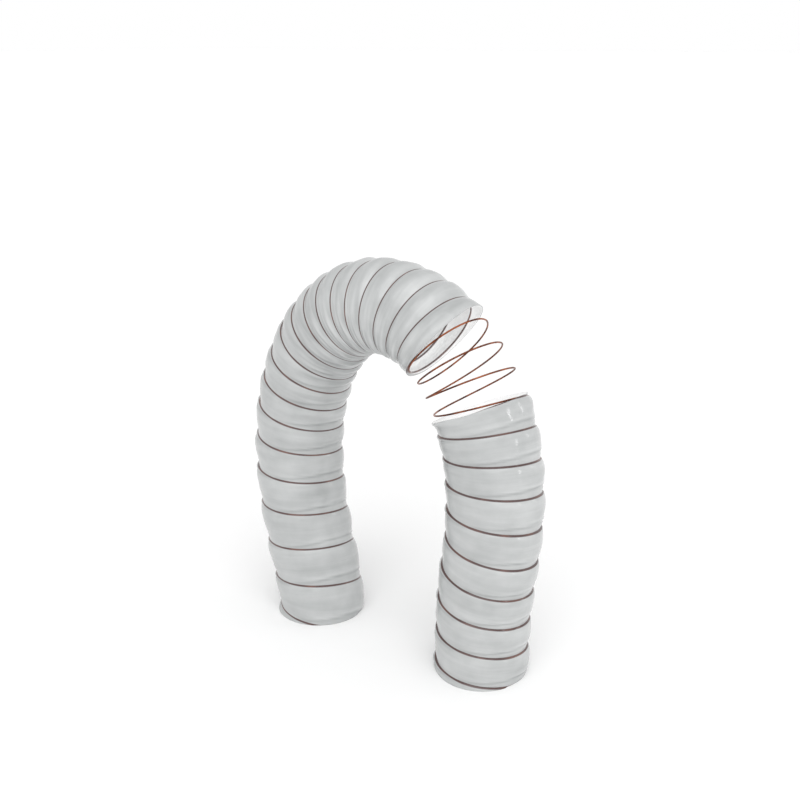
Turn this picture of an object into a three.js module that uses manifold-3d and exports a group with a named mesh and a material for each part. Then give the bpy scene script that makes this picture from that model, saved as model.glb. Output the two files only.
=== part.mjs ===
// A length of polyurethane ducting hose standing in an arch on its two cut ends.
// The wall is cut away over three turns below the bend, so the wire helix shows bare there.
// Millimetres, +Z up. The arch lies in the XZ plane and its front faces -Y.

import * as THREE from "three";
import Module from "manifold-3d";

const wasm = await Module();
wasm.setup();

// Section of the hose
const BORE_R = 50; // free bore of a 100 mm hose
const WIRE_R = 1; // spring wire, 2 mm across
const CLEAR = 0.3; // gap all round the wire in its tunnel
const COVER = 0.6; // film over and under the tunnel
const FILM = 0.8; // single film between two turns of the wire
const BULGE = 2.2; // how far the film stands out between two turns
const SHOULDER = 0.3; // share of a pitch at which the bulge is reached

// Roundness of the model
const COLUMNS = 18; // flats round the hose, and stations on one turn of the wire
const WIRE_SIDES = 6;

// Where the wall is cut, as lengths along the axis from the left foot
const MOUTH_AT = 584;
const RIM_AT = 670;

// The axis, as points one AXIS_STEP apart from the left foot over the bend to the right foot: x, z
const AXIS_STEP = 30.28;
const AXIS = [
  [-116.3, 0],
  [-118, 29.4],
  [-123.6, 59.1],
  [-131.1, 88.5],
  [-137.5, 118.1],
  [-142.5, 147.9],
  [-145.9, 178],
  [-147.3, 208.3],
  [-146.5, 238.5],
  [-142.9, 268.6],
  [-136.3, 298.1],
  [-126.3, 326.7],
  [-112.7, 353.7],
  [-94.9, 378.2],
  [-73, 399.1],
  [-47.2, 414.7],
  [-18, 422.5],
  [12.2, 421.8],
  [41.4, 413.9],
  [67.9, 399.5],
  [90.6, 379.6],
  [109.1, 355.7],
  [123.8, 329.2],
  [134.6, 300.9],
  [141.9, 271.6],
  [145.9, 241.6],
  [147.3, 211.3],
  [146.4, 181.1],
  [143.5, 150.9],
  [139.7, 120.9],
  [137, 90.7],
  [135.3, 60.5],
  [134.6, 30.2],
  [134.6, 0],
];

// Lengths along the axis at which the wire passes the front of the hose, turn by turn.
// The turns lie closer in the bend than in the legs.
const TURN_AT = [
  -95, -45.5, 4.5, 54, 103, 151.6, 196.8, 238.1, 276.1, 310.3, 341.6, 369.8, 394.9, 417.7,
  437.5, 457.8, 477.3, 497.8, 519.9, 542, 564.3, 587.4, 611, 636.1, 662.7, 691.2, 722.3,
  756.3, 793.1, 832.6, 872.4, 912.2, 952, 991.8, 1031.6, 1071.4,
];

// Sizes that follow from the ones above
const AXIS_LENGTH = AXIS_STEP * (AXIS.length - 1);
const TUNNEL_HALF = WIRE_R + CLEAR;
const HELIX_R = BORE_R + COVER + TUNNEL_HALF;
const VALLEY_R = HELIX_R + TUNNEL_HALF + COVER;
const CREST_R = VALLEY_R + BULGE;
const BEAD_HALF = TUNNEL_HALF + COVER;

// Smooth curve through evenly spaced values, straight beyond both ends.
// With level ends it also leaves both ends without a slope.
function along(values, x, levelEnds = false) {
  const last = values.length - 1;
  const firstSlope = levelEnds ? 0 : values[1] - values[0];
  const lastSlope = levelEnds ? 0 : values[last] - values[last - 1];
  if (x < 0) return values[0] + x * firstSlope;
  if (x > last) return values[last] + (x - last) * lastSlope;
  const i = Math.min(Math.floor(x), last - 1);
  const f = x - i;
  const b = values[i];
  const c = values[i + 1];
  const m = i > 0 ? (c - values[i - 1]) / 2 : firstSlope;
  const n = i + 1 < last ? (values[i + 2] - b) / 2 : lastSlope;
  return b + f * (m + f * (3 * (c - b) - 2 * m - n + f * (2 * (b - c) + m + n)));
}

const AXIS_X = AXIS.map((p) => p[0]);
const AXIS_Z = AXIS.map((p) => p[1]);

function axisPoint(s) {
  return new THREE.Vector3(along(AXIS_X, s / AXIS_STEP, true), 0, along(AXIS_Z, s / AXIS_STEP));
}

function axisDirection(s) {
  return axisPoint(s + 0.01).sub(axisPoint(s - 0.01)).normalize();
}

// Point at length s, at turn angle a (0 is the front, a quarter is the outer side of the arch),
// at radius r, and moved by b along the axis
const FRONT = new THREE.Vector3(0, -1, 0);
function place(s, a, r, b) {
  const direction = axisDirection(s);
  const outward = new THREE.Vector3().crossVectors(FRONT, direction);
  return axisPoint(s)
    .addScaledVector(FRONT, r * Math.cos(2 * Math.PI * a))
    .addScaledVector(outward, r * Math.sin(2 * Math.PI * a))
    .addScaledVector(direction, b);
}

// Length along the axis that the wire has reached after w turns, and the turns for a length
function lengthAt(w) {
  return along(TURN_AT, w);
}

function turnsAt(s) {
  let low = 0;
  let high = TURN_AT.length - 1;
  for (let i = 0; i < 40; i++) {
    const middle = (low + high) / 2;
    if (lengthAt(middle) < s) low = middle;
    else high = middle;
  }
  return (low + high) / 2;
}

function solid(points, triangles) {
  const vertProperties = new Float32Array(points.length * 3);
  points.forEach((p, i) => p.toArray(vertProperties, i * 3));
  const triVerts = new Uint32Array(triangles.flat());
  return new wasm.Manifold(new wasm.Mesh({ numProp: 3, vertProperties, triVerts }));
}

// Closed tube between lengths s0 and s1 whose rows run with the wire.
// Each row is { t, b, r }: its share of a pitch from the wire, its shift along the axis, its radius.
function rowTube(rows, s0, s1) {
  const points = [];
  const columns = [];
  const firstTurn = Math.floor(turnsAt(s0)) - 2;
  const lastTurn = Math.ceil(turnsAt(s1)) + 2;
  for (let j = 0; j < COLUMNS; j++) {
    const a = j / COLUMNS;
    const all = [];
    for (let k = firstTurn; k <= lastTurn; k++) {
      rows.forEach((row, i) => {
        const s = lengthAt(k + a + row.t);
        all.push({ key: k * rows.length + i, s, reach: s + row.b, row });
      });
    }
    const radiusAt = (s) => {
      const i = all.findIndex((p) => p.reach > s);
      const f = (s - all[i - 1].reach) / (all[i].reach - all[i - 1].reach);
      return all[i - 1].row.r + f * (all[i].row.r - all[i - 1].row.r);
    };
    const column = [];
    const add = (key, point) => column.push({ key, index: points.push(point) - 1 });
    add(-Infinity, place(s0, a, radiusAt(s0), 0));
    for (const p of all) {
      if (p.reach > s0 + 0.5 && p.reach < s1 - 0.5) add(p.key, place(p.s, a, p.row.r, p.row.b));
    }
    add(Infinity, place(s1, a, radiusAt(s1), 0));
    columns.push(column);
  }
  const startHub = points.push(axisPoint(s0)) - 1;
  const endHub = points.push(axisPoint(s1)) - 1;
  const triangles = [];
  for (let j = 0; j < COLUMNS; j++) {
    const left = columns[j];
    const shift = j + 1 < COLUMNS ? 0 : rows.length;
    const right = columns[(j + 1) % COLUMNS].map((p) => ({ key: p.key - shift, index: p.index }));
    let m = 0;
    let n = 0;
    while (m < left.length - 1 || n < right.length - 1) {
      const nextLeft = m < left.length - 1 ? left[m + 1].key : NaN;
      const nextRight = n < right.length - 1 ? right[n + 1].key : NaN;
      const goLeft = n === right.length - 1 || (m < left.length - 1 && nextLeft <= nextRight);
      if (goLeft) {
        triangles.push([right[n].index, left[m].index, left[m + 1].index]);
        m++;
      } else {
        triangles.push([right[n].index, left[m].index, right[n + 1].index]);
        n++;
      }
    }
    triangles.push([startHub, left[0].index, right[0].index]);
    triangles.push([endHub, right[right.length - 1].index, left[left.length - 1].index]);
  }
  return solid(points, triangles);
}

// Closed bar on the helix between w0 and w1 turns; corners are [radial, axial] offsets
function helixBar(corners, w0, w1) {
  const points = [];
  const triangles = [];
  const n = corners.length;
  const first = Math.round(w0 * COLUMNS);
  const last = Math.round(w1 * COLUMNS);
  for (let i = first; i <= last; i++) {
    const w = i / COLUMNS;
    for (const [radial, axial] of corners) {
      points.push(place(lengthAt(w), w, HELIX_R + radial, axial));
    }
  }
  const rings = last - first + 1;
  for (let i = 0; i + 1 < rings; i++) {
    for (let c = 0; c < n; c++) {
      const p = i * n + c;
      const q = i * n + ((c + 1) % n);
      triangles.push([p, q, p + n], [q, q + n, p + n]);
    }
  }
  for (let c = 1; c + 1 < n; c++) {
    triangles.push([0, c + 1, c]);
    const e = (rings - 1) * n;
    triangles.push([e, e + c, e + c + 1]);
  }
  return solid(points, triangles);
}

const OUTER_ROWS = [
  { t: 0, b: 0, r: VALLEY_R },
  { t: SHOULDER, b: 0, r: CREST_R },
  { t: 1 - SHOULDER, b: 0, r: CREST_R },
];
const INNER_ROWS = [
  { t: 0, b: -BEAD_HALF, r: BORE_R },
  { t: 0, b: BEAD_HALF, r: BORE_R },
  { t: SHOULDER, b: 0, r: CREST_R - FILM },
  { t: 1 - SHOULDER, b: 0, r: CREST_R - FILM },
];
const TUNNEL_SECTION = [
  [-TUNNEL_HALF, -TUNNEL_HALF],
  [TUNNEL_HALF, -TUNNEL_HALF],
  [TUNNEL_HALF, TUNNEL_HALF],
  [-TUNNEL_HALF, TUNNEL_HALF],
];
const WIRE_SECTION = Array.from({ length: WIRE_SIDES }, (_, i) => {
  const angle = (2 * Math.PI * i) / WIRE_SIDES;
  return [WIRE_R * Math.cos(angle), WIRE_R * Math.sin(angle)];
});

// The wall between two cuts: an outer skin, less the bore, less the wire's tunnel
const PAST = 12; // how far a cutting shape runs past the cut
function wall(s0, s1) {
  const skin = rowTube(OUTER_ROWS, s0, s1);
  const bore = rowTube(INNER_ROWS, s0 - PAST, s1 + PAST);
  const tunnel = helixBar(TUNNEL_SECTION, turnsAt(s0) - 1, turnsAt(s1) + 1);
  return skin.subtract(bore).subtract(tunnel);
}

function meshOf(name, body, color, roughness) {
  const made = body.getMesh();
  const geometry = new THREE.BufferGeometry();
  geometry.setAttribute("position", new THREE.BufferAttribute(made.vertProperties, 3));
  geometry.setIndex(new THREE.BufferAttribute(made.triVerts, 1));
  geometry.computeVertexNormals();
  const mesh = new THREE.Mesh(geometry, new THREE.MeshStandardMaterial({ color, roughness }));
  mesh.name = name;
  return mesh;
}

// The wire runs from foot to foot and both its ends are cut flush with the wall
const wire = helixBar(WIRE_SECTION, turnsAt(-PAST), turnsAt(AXIS_LENGTH + PAST)).trimByPlane(
  [0, 0, 1],
  0,
);

const hose = new THREE.Group();
hose.name = "polyurethane_hose";
hose.add(meshOf("hose_wall_long", wall(0, MOUTH_AT), 0xc4c8c8, 0.25));
hose.add(meshOf("hose_wall_short", wall(RIM_AT, AXIS_LENGTH), 0xc4c8c8, 0.25));
hose.add(meshOf("wire_helix", wire, 0xa06038, 0.35));

export default hose;
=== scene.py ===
"""Polyurethane ducting hose standing in an arch, with its wire helix bare below the bend.

Metres, +Z up. The arch lies in the XZ plane and its front faces -Y.
"""

import math

import bpy
import numpy as np
from mathutils import Matrix


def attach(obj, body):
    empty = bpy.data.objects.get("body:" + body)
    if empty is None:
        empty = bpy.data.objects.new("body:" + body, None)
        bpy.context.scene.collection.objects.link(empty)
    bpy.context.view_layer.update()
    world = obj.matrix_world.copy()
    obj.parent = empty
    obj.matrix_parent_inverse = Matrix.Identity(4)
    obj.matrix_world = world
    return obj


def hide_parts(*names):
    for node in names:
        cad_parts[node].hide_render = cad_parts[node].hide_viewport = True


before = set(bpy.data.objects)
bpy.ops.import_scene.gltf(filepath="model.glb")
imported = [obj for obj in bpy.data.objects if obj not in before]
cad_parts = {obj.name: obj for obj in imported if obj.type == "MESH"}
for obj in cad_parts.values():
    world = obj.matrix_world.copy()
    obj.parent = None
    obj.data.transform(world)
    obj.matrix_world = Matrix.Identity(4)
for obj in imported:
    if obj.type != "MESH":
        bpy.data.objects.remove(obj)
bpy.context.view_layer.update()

MM = 0.001

# Section of the hose
BORE_R = 50 * MM
WIRE_R = 1 * MM
HELIX_R = 51.9 * MM
VALLEY_R = 53.4 * MM  # outside of the film beside the wire
FILM = 0.8 * MM

# Where the wall is cut, as lengths along the axis from the left foot
MOUTH_AT = 584 * MM
RIM_AT = 670 * MM

# The axis, as points one AXIS_STEP apart from the left foot over the bend to the right foot
AXIS_STEP = 30.28 * MM
AXIS_X = MM * np.array(
    [-116.3, -118, -123.6, -131.1, -137.5, -142.5, -145.9, -147.3, -146.5, -142.9, -136.3, -126.3]
    + [-112.7, -94.9, -73, -47.2, -18, 12.2, 41.4, 67.9, 90.6, 109.1, 123.8, 134.6]
    + [141.9, 145.9, 147.3, 146.4, 143.5, 139.7, 137, 135.3, 134.6, 134.6]
)
AXIS_Z = MM * np.array(
    [0, 29.4, 59.1, 88.5, 118.1, 147.9, 178, 208.3, 238.5, 268.6, 298.1, 326.7]
    + [353.7, 378.2, 399.1, 414.7, 422.5, 421.8, 413.9, 399.5, 379.6, 355.7, 329.2, 300.9]
    + [271.6, 241.6, 211.3, 181.1, 150.9, 120.9, 90.7, 60.5, 30.2, 0]
)
AXIS_LENGTH = AXIS_STEP * (len(AXIS_X) - 1)
FRONT = [0.0, -1.0, 0.0]

# Lengths along the axis at which the wire passes the front of the hose, turn by turn
TURN_AT = MM * np.array(
    [-95, -45.5, 4.5, 54, 103, 151.6, 196.8, 238.1, 276.1, 310.3, 341.6, 369.8]
    + [394.9, 417.7, 437.5, 457.8, 477.3, 497.8, 519.9, 542, 564.3, 587.4, 611, 636.1]
    + [662.7, 691.2, 722.3, 756.3, 793.1, 832.6, 872.4, 912.2, 952, 991.8, 1031.6, 1071.4]
)

# Shares of a pitch at which the film has its rows, closer together beside the wire
ROW_SHARES = np.array(
    [0, 0.02, 0.045, 0.075, 0.11, 0.15, 0.2, 0.27, 0.35, 0.43]
    + [0.5, 0.57, 0.65, 0.73, 0.8, 0.85, 0.89, 0.925, 0.955, 0.98]
)
FILM_COLUMNS = 96
WIRE_SIDES = 14
WIRE_STATIONS = 48  # on one turn

# Film between two turns of the wire
BULGE_LOW = 1.2 * MM
BULGE_PER_PITCH = 0.05
BULGE_MOST = 3.2 * MM
BULGE_LUMPS = 0.9 * MM
BULGE_OUTSIDE = 1.1 * MM  # more on the outer side of the arch
RIDGE = 0.35 * MM  # over the wire
RIDGE_WIDTH = 0.9 * MM
BEAD_WIDTH = 1.9 * MM  # under the wire, inside the film
BEAD_GAP = 0.25 * MM  # from the bead to the bore
SAG = 0.2  # share of a pitch by which the bulge sinks in an upright leg

# Level creases of the legs
CREASE_FROM_WIRE = 2 * MM
RIGHT_CREASE_DRIFT = 8.5 * MM
LEFT_CREASE_DRIFT = 7 * MM
RIGHT_CREASE_DEEP = 1.1 * MM
LEFT_CREASE_DEEP = 1.0 * MM
CREASE_WIDTH = 1.5 * MM
SWELL = 0.5 * MM
COLLAR = 2.0 * MM

# Fine waves along the wire where the turns are packed
PACKED_FROM = 30 * MM  # pitch at which the waves begin
PACKED_OVER = 16 * MM
WAVE = 0.5 * MM

# Free edge at a cut
FLARE = 1.0 * MM
FLARE_LEFT = 2.2 * MM
FLARE_REACH = 4 * MM
LIP_GROOVE = 1.2 * MM
LIP_GROOVE_AT = 9 * MM

# Ragged cuts: the mouth leans and waves, and the rim rises on one side
MOUTH_LEAN = 2.0 * MM
MOUTH_WAVE = 0.5 * MM
RIM_RISE = 1.2 * MM
RIM_HIGH_AT = 0.9  # share of a turn from the front
RIM_WAVE = 0.5 * MM

# The photograph's camera
FRAME_PX = 800
FOCAL_PX = 1100.06
SENSOR_MM = 36

# Finishes
SMOKE_DARK = (0.335, 0.346, 0.346, 1)
SMOKE_PALE = (0.58, 0.59, 0.59, 1)
# Inner skin, far paler than the outside: painted light that comes through the film
INSIDE_PAINTED_LIGHT_DARK = (0.84, 0.85, 0.85, 1)
INSIDE_PAINTED_LIGHT_PALE = (0.9, 0.9, 0.9, 1)
WIRE_BROWN = (0.06, 0.018, 0.015, 1)
# Painted copper glint on the wire's line
WIRE_GLINT = (0.14, 0.055, 0.04, 1)
COPPER_DULL = (0.07, 0.018, 0.01, 1)
COPPER_CLEAN = (0.36, 0.11, 0.045, 1)
FLOOR_WHITE = (0.96, 0.96, 0.96, 1)
FLOOR_HALF = 90.0


# Course of the hose


def along(values, x, level_ends=False):
    """Smooth cubic through evenly spaced values, straight beyond both ends.

    With level ends it leaves both ends without a slope.
    """
    last = len(values) - 1
    slopes = np.empty(len(values))
    slopes[1:-1] = (values[2:] - values[:-2]) / 2
    slopes[0] = 0 if level_ends else values[1] - values[0]
    slopes[-1] = 0 if level_ends else values[-1] - values[-2]
    inner = np.clip(x, 0, last)
    i = np.minimum(inner.astype(int), last - 1)
    f = inner - i
    b, c, m, n = values[i], values[i + 1], slopes[i], slopes[i + 1]
    curve = b + f * (m + f * (3 * (c - b) - 2 * m - n + f * (2 * (b - c) + m + n)))
    return curve + np.minimum(x, 0) * slopes[0] + np.maximum(x - last, 0) * slopes[-1]


def axis_at(s):
    """Point of the axis in the XZ plane at length s."""
    share = s / AXIS_STEP
    return np.stack([along(AXIS_X, share, True), 0 * s, along(AXIS_Z, share)], -1)


def direction_at(s):
    """Unit vector along the axis, from two points a hair apart."""
    step = axis_at(s + 0.01 * MM) - axis_at(s - 0.01 * MM)
    return step / np.linalg.norm(step, axis=-1, keepdims=True)


def curvature_at(s):
    """How sharply the arch bends there: the turn of its direction over a short reach, per metre."""
    reach = 8 * MM
    before, after = direction_at(s - reach / 2), direction_at(s + reach / 2)
    return np.linalg.norm(after - before, axis=-1) / reach


def outer_side(turn):
    """1 on the outer side of the arch, -1 on its inner side: the sine of the turn."""
    return np.sin(math.tau * turn)


def place(s, turn, radius, shift=0.0):
    """Point at length s and a share of a full turn from the front, at a radius, shifted along."""
    direction = direction_at(s)
    front = np.broadcast_to(FRONT, direction.shape)
    outward = np.cross(front, direction)
    angle = math.tau * turn
    ray = front * np.cos(angle)[..., None] + outward * np.sin(angle)[..., None]
    radius = np.broadcast_to(radius, s.shape)[..., None]
    shift = np.broadcast_to(shift, s.shape)[..., None]
    return axis_at(s) + ray * radius + direction * shift


def turns_at(s):
    """Turns of the wire up to length s, read back from the table of turns."""
    fine = np.linspace(0, len(TURN_AT) - 1, 4000)
    return np.interp(s, along(TURN_AT, fine), fine)


# Building meshes


def make_mesh(name, points, faces, values=None):
    """Closed mesh from arrays of points and four-cornered faces.

    A face with a doubled corner becomes a triangle, and points without a face are left out.
    """
    faces = np.asarray(faces)
    used = np.unique(faces)
    renumber = np.zeros(len(points), int)
    renumber[used] = np.arange(len(used))
    points, faces = points[used], renumber[faces]
    corners = [list(dict.fromkeys(face)) for face in faces.tolist()]
    corners = [face for face in corners if len(face) > 2]
    mesh = bpy.data.meshes.new(name)
    mesh.from_pydata(points.tolist(), [], corners)
    for key, numbers in (values or {}).items():
        attribute = mesh.attributes.new(key, "FLOAT", "POINT")
        attribute.data.foreach_set("value", np.ascontiguousarray(numbers[used], dtype=np.float32))
    mesh.validate()
    mesh.update()
    mesh.shade_smooth()
    piece = bpy.data.objects.new(name, mesh)
    bpy.context.scene.collection.objects.link(piece)
    return piece


# Film walls


def bell(x, width):
    """Bell curve of height 1 with the given half-width."""
    return np.exp(-((x / width) ** 2))


def lumps(s, turn):
    """Slow unevenness of the film, -1 to 1: four sine waves that run round and along the hose."""
    w = turns_at(s)
    waves = [(1, 0.61, 0.4), (2, 0.83, 2.1), (3, 1.37, 4.0), (5, 1.93, 1.2)]
    return sum(np.sin(math.tau * (m * turn + f * w) + p) for m, f, p in waves) / len(waves)


def legs_at(s):
    """1 in the straight legs, 0 in the bend: falls in a straight line with the curvature."""
    return np.clip(1.5 - curvature_at(s) / 6, 0, 1)


def facing(s, turn):
    """How far the film faces right and how far it faces left, each from 0 to 1."""
    to_right = outer_side(turn) * np.cross(FRONT, direction_at(s))[..., 0]
    return np.clip(to_right, 0, 1), np.clip(-to_right, 0, 1)


def stretch_at(s, turn):
    """Length along the film over length along the axis: 1 + curvature * radius * outer side."""
    return 1 + curvature_at(s) * HELIX_R * outer_side(turn)


def pitch_at(s, turn):
    """Gap along the film between two turns of the wire."""
    w = turns_at(s)
    at_axis = along(TURN_AT, w + 0.5) - along(TURN_AT, w - 0.5)
    return at_axis * np.clip(stretch_at(s, turn), 0.25, 2)


def bulge(s, turn, share, pitch):
    """How far the film stands out between two wires: a height times a power of 4 u (1 - u).

    The height grows with the pitch, with the lumps and towards the outer side. The film sags in
    the legs, so u is the share raised to the power that puts the peak under the upper wire. The
    power of the arch grows with the curvature, so the bulges are full in the legs and rounder in
    the bend.
    """
    peak = 0.5 + SAG * direction_at(s)[..., 2]
    u = np.clip(share, 0, 1) ** (math.log(0.5) / np.log(peak))
    arch = np.clip(4 * u * (1 - u), 0, 1) ** np.clip(0.55 + curvature_at(s) / 16, 0.8, 1.15)
    height = np.minimum(BULGE_LOW + BULGE_PER_PITCH * pitch, BULGE_MOST)
    height = height + BULGE_LUMPS * lumps(s, turn)
    return (height + BULGE_OUTSIDE * np.clip(outer_side(turn), 0, 1)) * arch


def creases(s, turn, share, pitch, slack, above):
    """What the level creases of the legs add to the radius, and how much painted shade and light
    they put on the film.

    Each is a bell of the distance to a line. Where the film faces right, the line climbs away from
    the lower wire as the square of that, with a low swelling over it. Where it faces left, the line
    sinks away from the upper wire, and slack film makes a collar between the two. They die out in
    the bend.
    """
    right, left = facing(s, turn)
    legs = legs_at(s)
    from_lower = (share if above > 0 else 1 - share) * pitch
    from_upper = pitch - from_lower
    right_gap = from_lower - CREASE_FROM_WIRE - RIGHT_CREASE_DRIFT * right**2
    left_gap = from_upper - CREASE_FROM_WIRE - LEFT_CREASE_DRIFT * left**2

    lift = SWELL * right * bell(right_gap - 3 * MM, 1.8 * MM)
    lift -= RIGHT_CREASE_DEEP * np.sqrt(right) * bell(right_gap, CREASE_WIDTH)
    lift -= LEFT_CREASE_DEEP * np.sqrt(left) * bell(left_gap, CREASE_WIDTH)
    lift += COLLAR * slack * left**2 * bell(left_gap + 3 * MM, 3.2 * MM)

    # Painted shade along each crease and over the collar, and a painted lighter band over the
    # right-hand swelling
    shade = np.sqrt(right) * bell(right_gap, 1.6 * MM)
    shade += np.sqrt(left) * bell(left_gap, 1.6 * MM)
    shade -= 0.6 * right * bell(right_gap - 3.2 * MM, 2 * MM)
    shade += 1.3 * slack * left**2 * bell(left_gap + 1 * MM, 4 * MM)
    return legs * lift, legs * shade


def free_edge(s, turn, cut):
    """What a cut adds to the radius, and how much painted shade it puts on the film.

    The edge flares as an exponential of the distance from the cut, more where it faces left, and a
    bell further in makes a groove there.
    """
    left = facing(s, turn)[1]
    from_cut = np.abs(s - cut)
    groove = left * legs_at(s) * bell(from_cut - LIP_GROOVE_AT, 2 * MM)
    flare = (FLARE + FLARE_LEFT * left) * np.exp(-from_cut / FLARE_REACH)
    # The groove is darkened with painted shade
    return flare - LIP_GROOVE * groove, groove


def film_shape(s, turn, share, above, cut):
    """Outer and inner radius of the film, and the marks that its colour follows on either side,
    painted shade and light among them.

    s is the length, turn the share of a full turn from the front, and share the share of a pitch
    from the wire. The outer radius is the valley radius plus the bulge, a round ridge over the
    wire, the creases, the free edge and, where the turns are packed, three low waves per pitch.
    The inner one is a film thickness less, with a bead under the wire that comes down to the bore.
    """
    pitch = pitch_at(s, turn)
    from_wire = np.minimum(share, 1 - share) * pitch
    legs = legs_at(s)
    slack = np.clip(0.6 + 1.1 * lumps(s, turn + 0.3), 0.1, 1.4)
    crease, crease_shade = creases(s, turn, share, pitch, slack, above)
    edge, edge_shade = free_edge(s, turn, cut)
    packed = np.clip((PACKED_FROM - pitch) / PACKED_OVER, 0, 1)
    waves = np.sin(math.pi * share) * np.cos(math.tau * (3 * share + 0.4 * lumps(s, turn)))

    radius = VALLEY_R + bulge(s, turn, share, pitch) + RIDGE * bell(from_wire, RIDGE_WIDTH)
    radius += crease + edge + WAVE * packed * waves
    skin = radius - FILM
    inner = skin - (skin - BORE_R - BEAD_GAP) * bell(from_wire, BEAD_WIDTH)

    outside_of_bend = np.clip(outer_side(turn), 0, 1) * (1 - 0.8 * legs)
    # Painted shade and light: the creases, the groove at a cut and the packed waves darken or
    # lighten the film's grey
    fold_shade = crease_shade + edge_shade - 0.5 * packed * waves
    # Painted shade and light on the bulges outside the bend: a darker band and a lighter band
    # across each pitch
    fold_shade += 0.6 * outside_of_bend * slack * np.cos(math.tau * (share - 0.35))

    # From outside, the wire's line is thinner in the bend and fades towards the bend's inner side
    faded = np.clip((0.9 - stretch_at(s, turn)) / 0.2, 0, 1)
    outside_line = from_wire / (0.92 + 0.33 * legs) + 0.55 * MM * faded
    marks = {
        "from_wire": (outside_line / MM, from_wire / (1.25 * MM)),
        "across": (share * pitch / MM,) * 2,
        "packed": (packed,) * 2,
        "fold_shade": (fold_shade,) * 2,
        "inside": (0 * s, 0 * s + 1),
    }
    return radius, inner, marks


def film_wall(name, start, end, above, cut):
    """One length of film as two skins on a grid whose rows run with the wire.

    Column j stands a share j / n of a turn from the front, and its rows follow the wire, so the
    last column meets the first one a pitch further on. Rows past an end are drawn back onto it.
    """
    column = np.arange(FILM_COLUMNS)
    per_pitch = len(ROW_SHARES)
    first = math.floor(turns_at(start.min())) - 1
    last = math.ceil(turns_at(end.max())) + 1
    along_wire = (np.arange(first, last)[:, None] + ROW_SHARES).ravel()
    rows = len(along_wire)
    s = along(TURN_AT, along_wire[:, None] + column / FILM_COLUMNS)
    low, high = s <= start + 0.1 * MM, s >= end - 0.1 * MM
    s = np.where(low, start, np.where(high, end, s))
    turn = np.broadcast_to(column / FILM_COLUMNS, s.shape)
    share = (turns_at(s) - turn) % 1.0
    outer, inner, marks = film_shape(s, turn, share, above, cut)

    row = np.arange(rows)[:, None]
    last_low = np.where(low, row, -1).max(0)
    first_high = np.where(high, row, rows).min(0)
    index = np.clip(row, last_low, first_high) * FILM_COLUMNS + column
    next_row = row + np.where(column == FILM_COLUMNS - 1, per_pitch, 0)
    next_column = np.broadcast_to((column + 1) % FILM_COLUMNS, next_row.shape)
    beside = index[np.minimum(next_row, rows - 1), next_column]
    quads = np.stack([index[:-1], index[1:], beside[1:], beside[:-1]], -1).reshape(-1, 4)
    flat = (quads[:, 0] == quads[:, 1]) & (quads[:, 2] == quads[:, 3])
    quads = quads[~flat]

    count = s.size
    rims = []
    for ring, turned in ((index[0], False), (index[-1], True)):
        onward = np.roll(ring, -1)
        rim = np.stack([ring, onward, onward + count, ring + count], -1)
        rims.append(rim[:, ::-1] if turned else rim)
    faces = np.concatenate([quads, quads[:, ::-1] + count] + rims)
    points = np.concatenate([place(s, turn, radius).reshape(-1, 3) for radius in (outer, inner)])
    values = {key: np.concatenate([a.ravel(), b.ravel()]) for key, (a, b) in marks.items()}
    return make_mesh(name, points, faces, values)


# Wire


def wire_helix(name):
    """Round bar on the helix: a ring of points carried from station to station, with flat ends."""
    low, high = turns_at(0.9 * MM), turns_at(AXIS_LENGTH - 0.9 * MM)
    turns = np.linspace(low, high, int((high - low) * WIRE_STATIONS))
    angle = math.tau * np.arange(WIRE_SIDES) / WIRE_SIDES
    w = np.broadcast_to(turns[:, None], (len(turns), WIRE_SIDES))
    radius = HELIX_R + WIRE_R * np.cos(angle) + 0 * w
    shift = WIRE_R * np.sin(angle) + 0 * w
    points = place(along(TURN_AT, w), w, radius, shift)
    points[..., 2] = np.maximum(points[..., 2], 0)
    index = np.arange(w.size).reshape(w.shape)
    onward = np.roll(index, -1, 1)
    sides = np.stack([index[:-1], onward[:-1], onward[1:], index[1:]], -1).reshape(-1, 4)
    points = points.reshape(-1, 3)
    hubs = [points[:WIRE_SIDES].mean(0), points[-WIRE_SIDES:].mean(0)]
    low_hub, high_hub = (np.full(WIRE_SIDES, w.size + i) for i in (0, 1))
    low_cap = np.stack([index[0], low_hub, low_hub, onward[0]], -1)
    high_cap = np.stack([index[-1], onward[-1], high_hub, high_hub], -1)
    points = np.concatenate([points, hubs])
    return make_mesh(name, points, np.concatenate([sides, low_cap, high_cap]))


# Materials


def new_group(name, inputs, outputs):
    """Empty shader node group with float, colour or vector sockets."""
    group = bpy.data.node_groups.new(name, "ShaderNodeTree")
    for key, kind, value in inputs:
        socket = group.interface.new_socket(name=key, in_out="INPUT", socket_type=kind)
        socket.default_value = value
    for key, kind in outputs:
        group.interface.new_socket(name=key, in_out="OUTPUT", socket_type=kind)
    return group


def feed(tree, socket, source):
    """Link another node's output to a socket, or set a number or colour on it."""
    if isinstance(source, bpy.types.NodeSocket):
        tree.links.new(source, socket)
    else:
        socket.default_value = source


def node(tree, kind, **settings):
    """New node; a setting is one of its properties, or else what feeds the input of that name."""
    made = tree.nodes.new(kind)
    for key, value in settings.items():
        if key in made.bl_rna.properties:
            setattr(made, key, value)
        else:
            feed(tree, made.inputs[key], value)
    return made


def calc(tree, operation, *operands):
    """Output of a math node on sockets or numbers."""
    made = node(tree, "ShaderNodeMath", operation=operation)
    for i, operand in enumerate(operands):
        feed(tree, made.inputs[i], operand)
    return made.outputs[0]


def noise(tree, where, **settings):
    """Noise between 0 and 1; with a fourth coordinate W it is four-dimensional."""
    kind = "4D" if "W" in settings else "3D"
    made = node(tree, "ShaderNodeTexNoise", noise_dimensions=kind, Vector=where, **settings)
    return made.outputs["Fac"]


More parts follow.
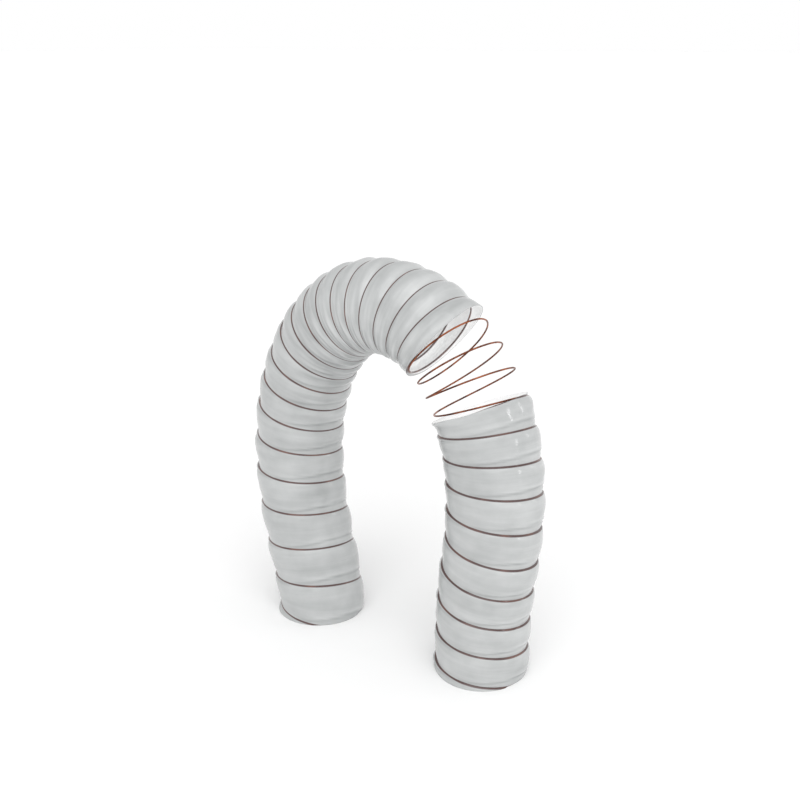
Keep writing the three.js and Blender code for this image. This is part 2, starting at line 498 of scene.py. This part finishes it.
def ramp(tree, source, low, high, start=0.0, end=1.0, kind="LINEAR"):
    """Value carried from the range low to high onto start to end."""
    limits = {"From Min": low, "From Max": high, "To Min": start, "To Max": end}
    made = node(tree, "ShaderNodeMapRange", interpolation_type=kind, Value=source, **limits)
    return made.outputs["Result"]


def mixed(tree, share, first, second):
    """Colour between two others, each a socket or a colour."""
    made = node(tree, "ShaderNodeMix", data_type="RGBA")
    for index, source in ((0, share), (6, first), (7, second)):
        feed(tree, made.inputs[index], source)
    return made.outputs[2]


def object_place(tree):
    """Where a point lies in the shared frame."""
    return node(tree, "ShaderNodeTexCoord").outputs["Object"]


def mark(tree, name):
    """What the piece's own attribute of that name says."""
    return node(tree, "ShaderNodeAttribute", attribute_name=name).outputs["Fac"]


def film_marks_and_shade():
    """What the outer and the inner side of the film share.

    Clouds, streaks along the wire and the painted shade and light of the folds vary its grey, the
    wire shows through as a brown line with painted copper glints, and pleats and ripples give the
    bump. The streaks and pleats are strongest where the turns are packed.
    """
    tree = new_group(
        "film_marks_and_shade",
        [
            ("Film", "NodeSocketColor", SMOKE_DARK),
            ("Cloud", "NodeSocketColor", SMOKE_PALE),
            ("Wire", "NodeSocketColor", WIRE_BROWN),
            ("Wire glint", "NodeSocketColor", WIRE_GLINT),
            ("Show", "NodeSocketFloat", 0.92),
        ],
        [
            ("Color", "NodeSocketColor"),
            ("Roughness", "NodeSocketFloat"),
            ("Normal", "NodeSocketVector"),
        ],
    )
    given = tree.nodes.new("NodeGroupInput").outputs
    out = tree.nodes.new("NodeGroupOutput")
    where = object_place(tree)
    across = mark(tree, "across")

    cloud = noise(tree, where, Scale=24.0, Detail=3.0, Roughness=0.55)
    scaled = node(tree, "ShaderNodeVectorMath", operation="SCALE", Vector=where, Scale=13.0)
    slow = scaled.outputs[0]
    streaks = noise(tree, slow, W=calc(tree, "MULTIPLY", across, 0.13), Scale=1.0)
    pleats = noise(tree, slow, W=calc(tree, "MULTIPLY", across, 0.45), Scale=1.0)
    deep = ramp(tree, mark(tree, "packed"), 0.0, 1.0, 0.3, 1.25)
    streak_grey = calc(tree, "SUBTRACT", streaks, 0.5)
    grey = calc(tree, "MULTIPLY_ADD", streak_grey, deep, ramp(tree, cloud, 0.3, 0.7, 0.42, 0.58))
    # Painted shade and light: the fold shade mark darkens the grey where it is positive and
    # lightens it where it is negative
    grey = calc(tree, "MULTIPLY_ADD", mark(tree, "fold_shade"), -0.24, grey)
    film = mixed(tree, ramp(tree, grey, 0.25, 0.75), given["Film"], given["Cloud"])

    line = ramp(tree, mark(tree, "from_wire"), 0.45, 1.25, 1.0, 0.0, "SMOOTHSTEP")
    patchy = noise(tree, where, Scale=45.0, Detail=1.0)
    # Painted copper glints on the wire's line, in patches of noise
    brown = mixed(tree, ramp(tree, patchy, 0.5, 0.75), given["Wire"], given["Wire glint"])
    shown = calc(tree, "MULTIPLY", line, given["Show"])
    feed(tree, out.inputs["Color"], mixed(tree, shown, film, brown))
    feed(tree, out.inputs["Roughness"], ramp(tree, cloud, 0.3, 0.7, 0.12, 0.24))

    folds = calc(tree, "MULTIPLY", pleats, deep)
    pleated = node(tree, "ShaderNodeBump", Strength=0.6, Distance=0.0016, Height=folds)
    ripple = noise(tree, where, Scale=50.0, Detail=1.0, Roughness=0.4)
    rippled = node(tree, "ShaderNodeBump", Strength=0.5, Distance=0.0018, Height=ripple)
    feed(tree, rippled.inputs["Normal"], pleated.outputs["Normal"])
    feed(tree, out.inputs["Normal"], rippled.outputs["Normal"])
    return tree


def film_material(name, marks, dark, pale, show, glow):
    """Glossy film in two greys; the glow is painted light that stands for the light that comes
    through from outside.
    """
    material = bpy.data.materials.new(name)
    material.use_nodes = True
    tree = material.node_tree
    shader = tree.nodes["Principled BSDF"]
    group = tree.nodes.new("ShaderNodeGroup")
    group.node_tree = marks
    for key, value in (("Film", dark), ("Cloud", pale), ("Show", show)):
        group.inputs[key].default_value = value
    feed(tree, shader.inputs["Base Color"], group.outputs["Color"])
    if glow:
        feed(tree, shader.inputs["Emission Color"], group.outputs["Color"])
    feed(tree, shader.inputs["Roughness"], group.outputs["Roughness"])
    feed(tree, shader.inputs["Normal"], group.outputs["Normal"])
    shader.inputs["IOR"].default_value = 1.5
    shader.inputs["Emission Strength"].default_value = glow
    return material


def copper_material():
    """Drawn steel wire with a thin copper coat: brown with brighter, cleaner patches along it."""
    material = bpy.data.materials.new("copper_wire")
    material.use_nodes = True
    tree = material.node_tree
    shader = tree.nodes["Principled BSDF"]
    clean = ramp(tree, noise(tree, object_place(tree), Scale=70.0, Detail=3.0), 0.35, 0.65)
    feed(tree, shader.inputs["Base Color"], mixed(tree, clean, COPPER_DULL, COPPER_CLEAN))
    feed(tree, shader.inputs["Roughness"], ramp(tree, clean, 0.0, 1.0, 0.45, 0.28))
    shader.inputs["Metallic"].default_value = 0.85
    return material


def paint_inside(piece):
    """Give the second material to the faces whose corners are nearly all on the inner skin."""
    mesh = piece.data
    on_inside = np.zeros(len(mesh.vertices), dtype=np.float32)
    mesh.attributes["inside"].data.foreach_get("value", on_inside)
    starts = np.zeros(len(mesh.polygons), dtype=np.int32)
    totals = np.zeros(len(mesh.polygons), dtype=np.int32)
    corners = np.zeros(len(mesh.loops), dtype=np.int32)
    mesh.polygons.foreach_get("loop_start", starts)
    mesh.polygons.foreach_get("loop_total", totals)
    mesh.loops.foreach_get("vertex_index", corners)
    share = np.add.reduceat(on_inside[corners], starts) / totals
    mesh.polygons.foreach_set("material_index", (share > 0.9).astype(np.int32))


# The pieces

camera_data = bpy.data.cameras.new("camera")
camera = bpy.data.objects.new("camera", camera_data)
bpy.context.scene.collection.objects.link(camera)
camera_data.sensor_width = SENSOR_MM
camera_data.lens = SENSOR_MM * FOCAL_PX / FRAME_PX
camera.matrix_world = Matrix(
    (
        (0.80327, -0.18406, 0.56646, 0.7494),
        (0.59561, 0.24822, -0.76396, -0.99328),
        (0.0, 0.95106, 0.30902, 0.71517),
        (0, 0, 0, 1),
    )
)
bpy.context.scene.camera = camera

round_about = math.tau * np.arange(FILM_COLUMNS) / FILM_COLUMNS
level = np.zeros(FILM_COLUMNS)
mouth_cut = MOUTH_AT + MOUTH_LEAN * np.cos(round_about) + MOUTH_WAVE * np.sin(3 * round_about)
rim_cut = RIM_AT - RIM_RISE * (1 + np.cos(round_about - math.tau * RIM_HIGH_AT))
rim_cut += RIM_WAVE * np.sin(5 * round_about) * np.cos(2 * round_about)

film_long = film_wall("film_long", level, mouth_cut, 1, MOUTH_AT)
film_short = film_wall("film_short", rim_cut, level + AXIS_LENGTH, -1, RIM_AT)
wire = wire_helix("copper_wire_helix")

marks = film_marks_and_shade()
outside = film_material("hose_film_outside", marks, SMOKE_DARK, SMOKE_PALE, 0.92, 0.0)
# Painted light on the inner skin: pale greys and a faint glow stand for light that comes through
# the film
inside = film_material("hose_film_inside_painted_light", marks, INSIDE_PAINTED_LIGHT_DARK, INSIDE_PAINTED_LIGHT_PALE, 0.95, 0.16)
for piece in (film_long, film_short):
    piece.data.materials.append(outside)
    piece.data.materials.append(inside)
    paint_inside(piece)
wire.data.materials.append(copper_material())

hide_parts("hose_wall_long")
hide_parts("hose_wall_short")
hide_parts("wire_helix")
for piece, slot in ((film_long, "hose_film"), (film_short, "hose_film"), (wire, "copper_wire")):
    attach(piece, "root")


# Floor and light

floor_mesh = bpy.data.meshes.new("floor")
corners = [(x * FLOOR_HALF, y * FLOOR_HALF, 0) for x, y in ((-1, -1), (1, -1), (1, 1), (-1, 1))]
floor_mesh.from_pydata(corners, [], [(0, 1, 2, 3)])
floor = bpy.data.objects.new("floor", floor_mesh)
bpy.context.scene.collection.objects.link(floor)
floor_material = bpy.data.materials.new("pale_floor")
floor_material.use_nodes = True
floor_shader = floor_material.node_tree.nodes["Principled BSDF"]
floor_shader.inputs["Base Color"].default_value = FLOOR_WHITE
floor_shader.inputs["Roughness"].default_value = 0.8
floor_mesh.materials.append(floor_material)

# The studio is white at the horizon and a little darker overhead
world = bpy.data.worlds.new("studio")
world.use_nodes = True
tree = world.node_tree
sky = tree.nodes["Background"]
sky_direction = node(tree, "ShaderNodeTexCoord").outputs["Generated"]
upward = node(tree, "ShaderNodeSeparateXYZ", Vector=sky_direction).outputs["Z"]
feed(tree, sky.inputs["Strength"], ramp(tree, upward, 0.04, 0.3, 1.0, 0.77))
sky.inputs["Color"].default_value = (1, 1, 1, 1)
bpy.context.scene.world = world
bpy.context.scene.view_settings.view_transform = "Standard"


def soft_light(name, size, power, location, target):
    """Rectangular area light that looks at a point."""
    data = bpy.data.lights.new(name, "AREA")
    data.shape = "RECTANGLE"
    data.size, data.size_y = size
    data.energy = power
    lamp = bpy.data.objects.new(name, data)
    lamp.location = location
    back = np.array(location) - np.array(target)
    back = back / np.linalg.norm(back)
    side = np.cross([0, 0, 1], back)
    side = side / np.linalg.norm(side)
    up = np.cross(back, side)
    matrix = np.eye(4)
    matrix[:3, 0], matrix[:3, 1], matrix[:3, 2], matrix[:3, 3] = side, up, back, location
    lamp.matrix_world = Matrix(matrix.tolist())
    bpy.context.scene.collection.objects.link(lamp)


# A broad key light from over the camera, and three soft lights for the glints
sun_data = bpy.data.lights.new("key", "SUN")
sun_data.energy = 1.3
sun_data.angle = math.radians(60)
sun = bpy.data.objects.new("key", sun_data)
sun.rotation_euler = (math.radians(42), 0, math.radians(36))
bpy.context.scene.collection.objects.link(sun)
soft_light("side_strip", (0.08, 0.6), 1.8, (1.7, 0.04, 0.5), (0.15, 0.0, 0.25))
soft_light("back_strip", (0.2, 0.6), 1.4, (1.5, 1.2, 0.7), (-0.1, 0.0, 0.25))
soft_light("top", (0.6, 0.45), 0.5, (0.2, 0.0, 1.7), (0.0, 0.0, 0.3))
